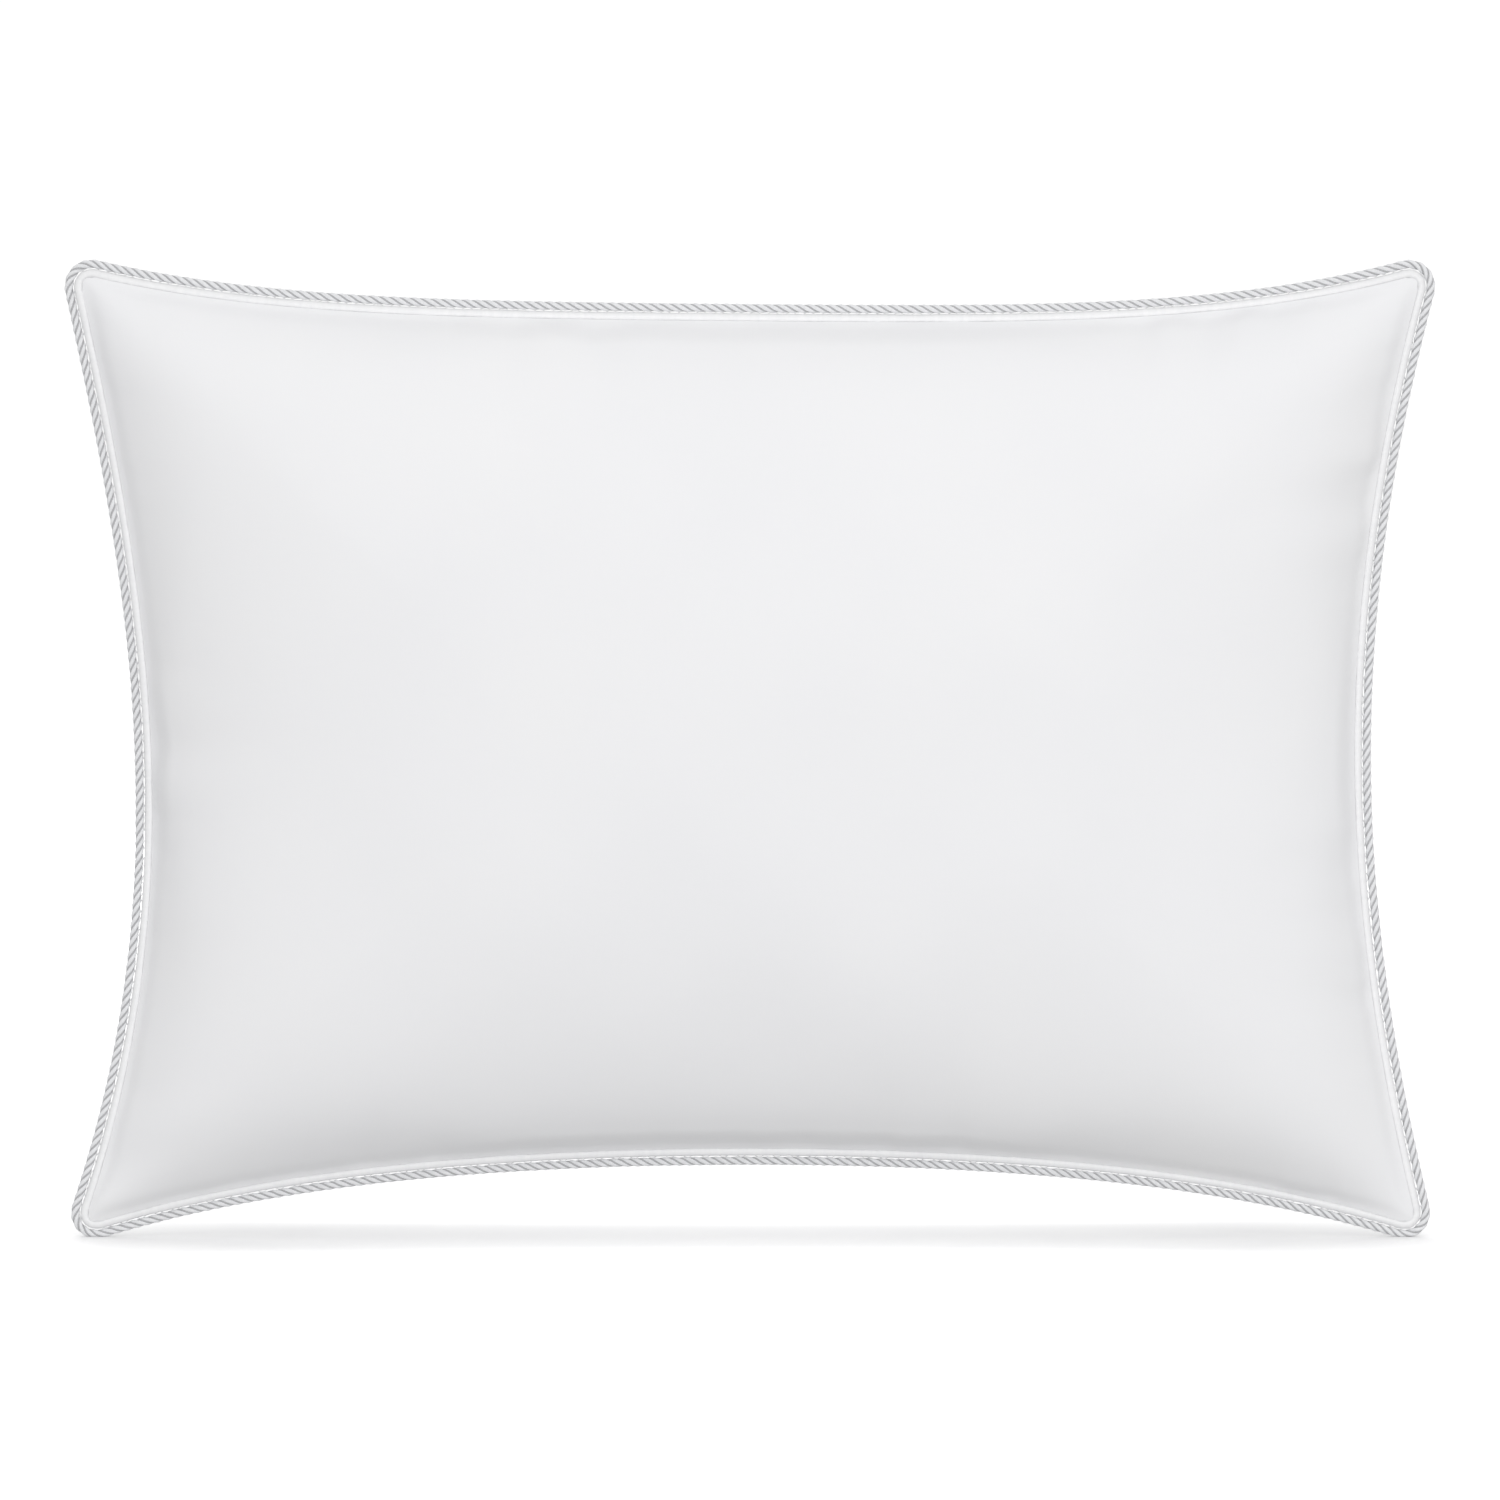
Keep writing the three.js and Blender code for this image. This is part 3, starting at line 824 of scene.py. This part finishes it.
def side_puckers(sheet, seed):
    """Small gathers where the cloth meets the seam, and wider soft ones behind them."""
    total = np.zeros(sheet.x.shape)
    sides = [
        (sheet.to_seam_x, sheet.z, sheet.x < 0),
        (sheet.to_seam_x, sheet.z, sheet.x >= 0),
        (sheet.to_seam_z, sheet.x, sheet.z < 0),
        (sheet.to_seam_z, sheet.x, sheet.z >= 0),
    ]
    for number, (distance, along, here) in enumerate(sides):
        from_rim = 1 - fading(distance, PUCKER_START)
        fine = ripples(along, *FINE_PUCKER_LENGTHS, seed + number)
        wide = ripples(along, *WIDE_PUCKER_LENGTHS, seed + 10 + number)
        strength = 0.6 + 0.4 * ripples(along, *STRENGTH_LENGTHS, seed + 20 + number)
        small = FINE_PUCKER_HEIGHT * fine * fading(distance, FINE_PUCKER_REACH)
        soft = WIDE_PUCKER_HEIGHT * wide * fading(distance, WIDE_PUCKER_REACH)
        total += here * from_rim * np.clip(strength, 0.1, 1.4) * (small + soft)
    return total


def cover(side, material):
    """A cover: its swollen sheet, and the allowance that is turned in at the seam."""
    name = SIDE_NAMES[side] + "_cover"
    sheet = Sheet(side, *case_places(*COVER_GRID))
    seed = COVER_SEEDS[side]
    inner = 1 - fading(sheet.to_seam, UNEVEN_REACH)
    uneven = UNEVEN_HEIGHT * lumps(sheet.x, sheet.z, *UNEVEN_LENGTHS, seed + 50)
    sheet.push(side_puckers(sheet, seed) + inner * (uneven - UNEVEN_HEIGHT))
    step_out = RIM_OUT * fading(sheet.to_seam, RIM_OUT_REACH)
    sheet.points += step_out[..., None] * sheet.outward()
    build = Build()
    cut_x = sheet.x * CUT_WIDTH / SEAM_WIDTH
    cut_z = sheet.z * CUT_HEIGHT / SEAM_HEIGHT
    build.sheet(sheet.points, cut_x, cut_z, flip=side == BACK)
    add_allowance(build, sheet, COVER_ALLOWANCE)
    piece = build.piece(name + "_cloth", material, "cover_cotton", name, CLOTH)
    crease(piece, border_numbers(*sheet.x.shape))


def crease(piece, numbers):
    """Marks the edges between these points as a sharp fold, which isn't shaded as a round."""
    edges = piece.data.edges
    ends = np.empty(len(edges) * 2, np.int32)
    edges.foreach_get("vertices", ends)
    folded = np.isin(ends.reshape(-1, 2), numbers).all(axis=1)
    edges.foreach_set("use_edge_sharp", folded)


def add_allowance(build, sheet, levels):
    """Turns a sheet in at its border; levels are (inset, distance from the plane) in mm."""
    rows, columns = sheet.x.shape
    edge = border_numbers(rows, columns)
    flat_x, flat_z = sheet.x.ravel()[edge], sheet.z.ravel()[edge]
    reach_x, reach_z = np.abs(sheet.x).max(), np.abs(sheet.z).max()
    last = edge
    for inset, y in levels:
        x = flat_x * (1 - inset * MM / reach_x)
        z = flat_z * (1 - inset * MM / reach_z)
        first = build.add_points(in_plane(x, z) + sheet.side * y * MM * ALONG_Y)
        numbers = first + np.arange(len(edge))
        build.band(last, numbers, np.c_[x, z], flip=sheet.side == FRONT)
        last = numbers


def inner_wall(side, material):
    """One of the two sheets that divide the case into three chambers."""
    name = SIDE_NAMES[side] + "_inner_wall"
    sheet = Sheet(side, *case_places(*WALL_GRID), WALL_INSET, **WALL_SHAPE)
    slack = WALL_SLACK * (1 - fading(sheet.to_seam - WALL_INSET, WALL_SLACK_REACH))
    sheet.push(slack * lumps(sheet.x, sheet.z, *WALL_SLACK_LENGTHS, WALL_SEED + side))
    build = Build()
    build.sheet(sheet.points, sheet.x, sheet.z, flip=side == BACK)
    add_allowance(build, sheet, WALL_ALLOWANCE)
    piece = build.piece(name + "_cloth", material, "wall_cotton", name, CLOTH)


def filling(name, outer, inner, material, slot):
    """Fibre that fills the space between two sheets, with a rim that joins them."""
    build = Build()
    back_facing = outer.side == BACK
    first_outer = build.sheet(outer.points, outer.x, outer.z, flip=back_facing)
    first_inner = build.sheet(inner.points, inner.x, inner.z, flip=not back_facing)
    edge = border_numbers(*outer.x.shape)
    cloth = np.c_[outer.x.ravel()[edge], outer.z.ravel()[edge]]
    build.band(first_outer + edge, first_inner + edge, cloth, flip=not back_facing)
    piece = build.piece(name + "_fibre", material, slot, name)


def soft_filling(side, material):
    """The layer of soft fibre between a cover and the inner wall behind it."""
    name = SIDE_NAMES[side] + "_soft_filling"
    places = case_places(*FILLING_GRID)
    outer = Sheet(side, *places, SOFT_INSET, SOFT_CORNER)
    inner = Sheet(side, *places, SOFT_INSET, SOFT_CORNER, **WALL_SHAPE)
    hills = lumps(outer.x, outer.z, *SOFT_TUFT_LENGTHS, SOFT_SEED + side)
    tufts = SOFT_TUFT_HEIGHT * np.abs(hills)
    outer.push(-SOFT_UNDER_COVER - tufts)
    inner.push(SOFT_OFF_WALL + 0.4 * tufts)
    deepest = np.abs(outer.points[..., 1]) - SOFT_THINNEST
    inner.points[..., 1] = side * np.minimum(np.abs(inner.points[..., 1]), deepest)
    filling(name, outer, inner, material, "soft_fibre")


def core_filling(material):
    """The springier fibre of the middle chamber, between the two inner walls."""
    halves = []
    for side in (FRONT, BACK):
        places = case_places(*FILLING_GRID)
        half = Sheet(side, *places, CORE_INSET, CORE_CORNER, **WALL_SHAPE)
        hills = lumps(half.x, half.z, *CORE_TUFT_LENGTHS, CORE_SEED + side)
        half.push(-CORE_UNDER_WALL - CORE_TUFT_HEIGHT * np.abs(hills))
        halves.append(half)
    filling("core_filling", *halves, material, "core_fibre")


# ---- Edging ----------------------------------------------------------------------


def piping_strip(material):
    """The strip wrapped round the piping's core, with fine gathers, and its two plies."""
    ply = PIPING_PLY_GAP
    inner_radius = PIPING_RADIUS - PIPING_CLOTH
    outer_angle = math.pi - math.asin((ply + CLOTH) / PIPING_RADIUS)
    inner_angle = math.pi - math.asin(ply / inner_radius)
    along = np.arange(len(SEAM)) * SEAM_STEP
    gathers = (1 + 0.015 * ripples(along, 4 * MM, 9 * MM, GATHER_SEED)
               + 0.015 * ripples(along, 20 * MM, 60 * MM, GATHER_SEED + 1))
    rings = [ring(-ALLOWANCE, -ply - CLOTH)]
    for radius, angles in (
        (PIPING_RADIUS, np.linspace(-outer_angle, outer_angle, PIPING_STEPS)),
        (inner_radius, np.linspace(inner_angle, -inner_angle, PIPING_STEPS)),
    ):
        for angle in angles:
            out = (PIPING_CENTRE + radius * gathers * math.cos(angle))[:, None] * OUTWARD
            rings.append(SEAM + out + (radius * gathers * math.sin(angle))[:, None] * ALONG_Y)
        if radius == PIPING_RADIUS:
            rings.append(ring(-ALLOWANCE, ply + CLOTH))
            rings.append(ring(-ALLOWANCE, ply))
    rings.append(ring(-ALLOWANCE, -ply))
    section = np.stack(rings, 1)
    build = Build()
    build.tube(section, SEAM_LENGTH, 4 * math.pi * PIPING_RADIUS, flip=True)
    build.piece("piping_strip_satin", material, "piping_satin", "piping_strip")


def twisted_plies(line, orbit, ply_radius, lay, phases, sides=8, steps_in_turn=14):
    """Plies that wind round a closed line with a whole number of turns."""
    _, length = even_ring(line, 1)
    turns = round(length / lay)
    centres, _ = even_ring(line, turns * steps_in_turn)
    outward = outward_of(centres)
    build = Build()
    for phase in phases:
        angle = 2 * math.pi * (np.arange(len(centres)) / steps_in_turn + phase)
        spoke = np.cos(angle)[:, None] * outward + np.sin(angle)[:, None] * ALONG_Y
        ply = centres + orbit * spoke
        along = tangents(ply)
        first = unit(spoke - (spoke * along).sum(-1, keepdims=True) * along)
        rings = swept(ply, first, np.cross(along, first), round_section(ply_radius, sides))
        rings[..., 2] = np.maximum(rings[..., 2], 0)  # pressed flat where it stands
        ply_length = length * math.hypot(1, 2 * math.pi * orbit / lay)
        build.tube(rings, ply_length, 2 * math.pi * ply_radius)
    return build


def edge_rope(white, groove_shade):
    """Three white plies, and three slimmer dark grey ones laid up in turn in the grooves
    between them, which are painted shade for the grooves.
    """
    line = ring(ROPE_CENTRE, 0)
    along = np.arange(len(line)) * SEAM_STEP
    sway = ROPE_SWAY * ripples(along, *ROPE_SWAY_LENGTHS, SWAY_SEED)
    line = line + sway[:, None] * ALONG_Y
    thirds = np.arange(3) / 3
    white_plies = twisted_plies(line, WHITE_PLY_ORBIT, WHITE_PLY_RADIUS, LAY, thirds)
    groove_shade_plies = twisted_plies(line, SHADE_PLY_ORBIT, SHADE_PLY_RADIUS, LAY, thirds + 1 / 6)
    white_plies.piece("rope_white_plies", white, "rope_yarn", "edge_rope")
    groove_shade_plies.piece("rope_groove_shade_plies", groove_shade, "rope_yarn", "edge_rope")


def piping_core(material):
    """The twisted cotton cord inside the piping."""
    core = twisted_plies(ring(PIPING_CENTRE, 0), CORE_CORD_ORBIT, CORE_CORD_RADIUS,
                         CORE_CORD_LAY, np.arange(3) / 3, sides=6, steps_in_turn=9)
    core.piece("piping_core_cord", material, "core_cord", "piping_core")


# ---- Threads ---------------------------------------------------------------------


def stitch_run(name, line_of, material):
    """A closed run of stitches; line_of gives its line from the phase of each step."""
    steps_in_stitch = 6
    _, length = even_ring(ring(0, 0), 1)
    stitches = round(length / STITCH)
    seam, _ = even_ring(ring(0, 0), stitches * steps_in_stitch)
    phase = np.arange(len(seam)) / steps_in_stitch
    build = Build()
    rings = tube_rings(line_of(seam, outward_of(seam), phase), THREAD_RADIUS, 6)
    build.tube(rings, length, 2 * math.pi * THREAD_RADIUS)
    build.piece(name.replace("thread", "stitches"), material, "thread", name)


def seam_thread(side, material):
    """The lockstitch thread that lies on one face of the seam's layers."""
    name = "seam_needle_thread" if side == FRONT else "seam_bobbin_thread"
    lowest, arch = 1.62 * MM, 0.08 * MM

    def line_of(seam, outward, phase):
        lift = lowest + arch * np.abs(np.sin(math.pi * phase))
        return seam - STITCH_LINE * outward + side * lift[:, None] * ALONG_Y

    stitch_run(name, line_of, material)


def rope_thread(material):
    """Slanting stitches on the back, over the groove between the piping and the rope."""
    groove, reach = 5.2 * MM, 0.75 * MM
    behind, dip = 2.0 * MM, 0.1 * MM
    period = 3  # stitch lengths from one slant to the next

    def line_of(seam, outward, phase):
        across = groove + reach * np.sin(2 * math.pi * phase / period)
        y = behind + dip * np.cos(4 * math.pi * phase / period)
        return seam + across[:, None] * outward + y[:, None] * ALONG_Y

    stitch_run("rope_thread", line_of, material)


def closing_thread(material):
    """Hand stitches that close the last stretch of the bottom seam, on the back."""
    centre = (SEAM[:, 0].max() + SEAM[:, 0].min()) / 2
    here = (np.abs(SEAM[:, 0] - centre) < CLOSING_SEAM_LENGTH / 2) & (OUTWARD[:, 2] < -0.5)
    seam, outward = SEAM[here], OUTWARD[here]
    along = lengths_along(seam)
    steps_in_stitch = 8
    stops = np.linspace(0, along[-1], round(along[-1] / STITCH) * steps_in_stitch)
    seam, outward = at_stops(stops, along, seam), at_stops(stops, along, outward)
    swing = np.clip(1.6 * np.sin(math.pi * stops / STITCH), -1, 1)  # 1 on the cover
    across = 0.9 * MM - 1.3 * MM * swing
    y = 2.4 * MM + 0.45 * MM * swing
    centres = seam + across[:, None] * outward + y[:, None] * ALONG_Y
    stitches = tube_path("closing_stitches", centres, THREAD_RADIUS)
    stand_for(stitches, "closing_thread", material)


def tube_path(name, centres, radius, sides=6):
    """A tube along an open line, with its two ends closed."""
    along = unit(np.gradient(centres, axis=0))
    first = unit(np.cross(along, np.array([0.2, 1.0, 0.1])))
    rings = swept(centres, first, np.cross(along, first), round_section(radius, sides))
    count = len(centres)
    faces, corner_rows, corner_columns = grid_corners(count, sides, False, True)
    caps = [list(range(sides)), list(range((count - 1) * sides, count * sides))[::-1]]
    step = np.linalg.norm(np.diff(centres, axis=0), axis=1).mean()
    cloth = np.stack([corner_rows * step, corner_columns * radius], -1).reshape(-1, 2)
    cloth = np.vstack([cloth, np.zeros((2 * sides, 2))])
    return new_object(name, rings.reshape(-1, 3), faces.tolist() + caps, cloth)


# ---- Label -----------------------------------------------------------------------


def care_label(material):
    """A blank folded label caught in the left seam, lying on the back cover."""
    fold = 0.5 * MM  # between the two plies
    root_reach = 4 * MM  # the label comes out of the seam pressed to the cover
    curl_height, wave_height = 2.6 * MM, 0.5 * MM
    insets = np.linspace(0, 75 * MM, 90)
    heights = LABEL_HEIGHT + np.linspace(-0.5, 0.5, 15) * LABEL_WIDTH
    under = Sheet(BACK, insets - SEAM_WIDTH / 2, heights)
    points, normals = under.points, under.normals()
    out = np.linspace(0, LABEL_LENGTH, 34)
    plies = []
    for stops, lift in ((out, LABEL_LIFT), (out[::-1], LABEL_LIFT + fold)):
        share = stops / LABEL_LENGTH
        curl = lift * (1 - 0.6 * fading(stops, root_reach)) + curl_height * share**2.5
        ply = np.empty((len(heights), len(stops), 3))
        for row in range(len(heights)):
            wave = wave_height * share * math.sin(math.pi * row / (len(heights) - 1))
            along = lengths_along(points[row])
            foot, up = (at_stops(stops, along, values[row]) for values in (points, normals))
            ply[row] = foot + (curl + wave)[:, None] * up
        plies.append(ply)
    grid = np.concatenate(plies, axis=1)
    u = np.r_[out, out + LABEL_LENGTH]
    grid_u, grid_v = np.meshgrid(u, heights)
    build = Build()
    build.sheet(grid, grid_u, grid_v)
    piece = build.piece("care_label_ribbon", material, "label_satin", "care_label", 0.18 * MM)


# ---- Stage -----------------------------------------------------------------------

CAMERA_DISTANCE = 3.2
CAMERA_ELEVATION = math.radians(3)
VIEW_WIDTH = 0.7525  # width of the view at the pillow
SENSOR = 0.036
FLOOR_HALF_WIDTH = 9.0
FLOOR_GLOW = 0.32
FLOOR_PAINTED_SHADE_REACH = 0.06  # how near to the pillow the floor's glow is dimmed, which is painted shade
BACKDROP = 1.05  # the white that the camera sees behind the pillow
LIGHT_FROM_BELOW = 0.51
LIGHT_FROM_ABOVE = 0.86
LIGHT_BLEND = 0.3  # half the height of the band between the two, on a unit sphere
LIGHT_SIZE = 1.8
KEY_PLACE, KEY_WATTS = (0.42, -2.95, 0.4), 29
BACK_FILL_PLACE, BACK_FILL_WATTS = (-0.9, 2.8, 1.0), 20
LIT_POINT = (0, 0, 0.25)


def camera():
    low, high = CAD_BOX
    middle = (low + high) / 2
    data = bpy.data.cameras.new("camera")
    data.sensor_width = SENSOR / MM
    data.lens = CAMERA_DISTANCE * SENSOR / VIEW_WIDTH / MM
    eye = linked("camera", data)
    eye.location = (
        middle.x,
        middle.y - CAMERA_DISTANCE * math.cos(CAMERA_ELEVATION),
        middle.z + CAMERA_DISTANCE * math.sin(CAMERA_ELEVATION),
    )
    eye.rotation_euler = (math.pi / 2 - CAMERA_ELEVATION, 0, 0)
    bpy.context.scene.camera = eye


def floor():
    """A plain white floor that glows, bright enough that only the shade close under the pillow
    shows: real shadow from the lamps, deepened by painted shade where occlusion dims the glow
    near the pillow.
    """
    half = FLOOR_HALF_WIDTH
    mesh = bpy.data.meshes.new("floor")
    corners = [(-half, -half, 0), (half, -half, 0), (half, half, 0), (-half, half, 0)]
    mesh.from_pydata(corners, [], [(0, 1, 2, 3)])
    plane = linked("floor", mesh)
    shader = Shader("floor_white_painted_shade", 0.9, Specular_IOR_Level=0.0)
    grain = shader.noise(shader.place(), 30, 2)
    shader.colours(grain, [(0.3, (0.88, 0.88, 0.885)), (0.7, (0.9, 0.9, 0.9))])
    shader.surface.inputs["Emission Color"].default_value = (1, 1, 1, 1)
    # Painted shade: the floor's glow is dimmed by occlusion where the pillow is near
    near = shader.tree.nodes.new("ShaderNodeAmbientOcclusion")
    near.inputs["Distance"].default_value = FLOOR_PAINTED_SHADE_REACH
    openness = shader.math("POWER", near.outputs["AO"], 2)
    glow = shader.math("MULTIPLY", openness, FLOOR_GLOW)
    shader.put(glow, shader.surface.inputs["Emission Strength"])
    mesh.materials.append(shader.material)
    plane.visible_diffuse = False
    plane.visible_shadow = False


def area_light(name, place, watts):
    """A square soft light that faces the middle of the pillow."""
    data = bpy.data.lights.new(name, "AREA")
    data.shape = "SQUARE"
    data.size = LIGHT_SIZE
    data.energy = watts
    lamp = linked(name, data)
    lamp.location = place
    towards = np.array(LIT_POINT) - np.array(place)
    flat = math.hypot(towards[0], towards[1])
    lamp.rotation_euler = (math.pi / 2 + math.atan2(towards[2], flat), 0,
                           math.atan2(-towards[0], towards[1]))


def world():
    """White all round to the eye; as light it is dimmer from below."""
    sky = bpy.data.worlds.new("studio")
    bpy.context.scene.world = sky
    sky.use_nodes = True
    tree = sky.node_tree
    backdrop = tree.nodes["Background"]
    backdrop.inputs["Color"].default_value = (1, 1, 1, 1)
    backdrop.inputs["Strength"].default_value = BACKDROP
    light = tree.nodes.new("ShaderNodeBackground")
    light.inputs["Color"].default_value = (1, 1, 1, 1)
    direction = tree.nodes.new("ShaderNodeTexCoord")
    split = tree.nodes.new("ShaderNodeSeparateXYZ")
    tree.links.new(direction.outputs["Generated"], split.inputs[0])
    strength = tree.nodes.new("ShaderNodeMapRange")
    for socket, value in (
        ("From Min", -LIGHT_BLEND), ("From Max", LIGHT_BLEND),
        ("To Min", LIGHT_FROM_BELOW), ("To Max", LIGHT_FROM_ABOVE),
    ):
        strength.inputs[socket].default_value = value
    tree.links.new(split.outputs["Z"], strength.inputs["Value"])
    tree.links.new(strength.outputs[0], light.inputs["Strength"])
    path = tree.nodes.new("ShaderNodeLightPath")
    choice = tree.nodes.new("ShaderNodeMixShader")
    tree.links.new(path.outputs["Is Camera Ray"], choice.inputs[0])
    tree.links.new(light.outputs[0], choice.inputs[1])
    tree.links.new(backdrop.outputs[0], choice.inputs[2])
    tree.links.new(choice.outputs[0], tree.nodes["World Output"].inputs["Surface"])


def studio():
    bpy.context.scene.view_settings.view_transform = "Standard"
    camera()
    floor()
    world()
    area_light("key", KEY_PLACE, KEY_WATTS)
    area_light("back_fill", BACK_FILL_PLACE, BACK_FILL_WATTS)


# ---- Assembly --------------------------------------------------------------------

SWOLLEN = displacement_grids()


def pillow():
    cotton = cover_cotton()
    walls = wall_cotton()
    satin = piping_satin()
    soft = fibre("soft_fibre", (0.9, 0.89, 0.86), (0.78, 0.77, 0.74), 20 * MM)
    springy = fibre("core_fibre", (0.8, 0.78, 0.72), (0.66, 0.64, 0.58), 12 * MM)
    white_yarn = yarn("rope_white", (0.88, 0.885, 0.9), (0.78, 0.785, 0.8), 0.7 * MM)
    # The dark grey of these plies is painted shade for the rope's grooves
    groove_shade_yarn = yarn("rope_groove_shade", (0.52, 0.52, 0.535), (0.42, 0.42, 0.432), 0.6 * MM)
    cord_yarn = yarn("core_cord", (0.8, 0.79, 0.75), (0.68, 0.67, 0.63), 0.8 * MM, 0.8)
    thread = yarn("white_thread", (0.9, 0.9, 0.9), (0.8, 0.8, 0.81), 0.35 * MM, 0.45)
    for side in (FRONT, BACK):
        cover(side, cotton)
        inner_wall(side, walls)
        soft_filling(side, soft)
        seam_thread(side, thread)
    core_filling(springy)
    piping_strip(satin)
    piping_core(cord_yarn)
    edge_rope(white_yarn, groove_shade_yarn)
    rope_thread(thread)
    closing_thread(thread)
    care_label(label_satin())


studio()
pillow()
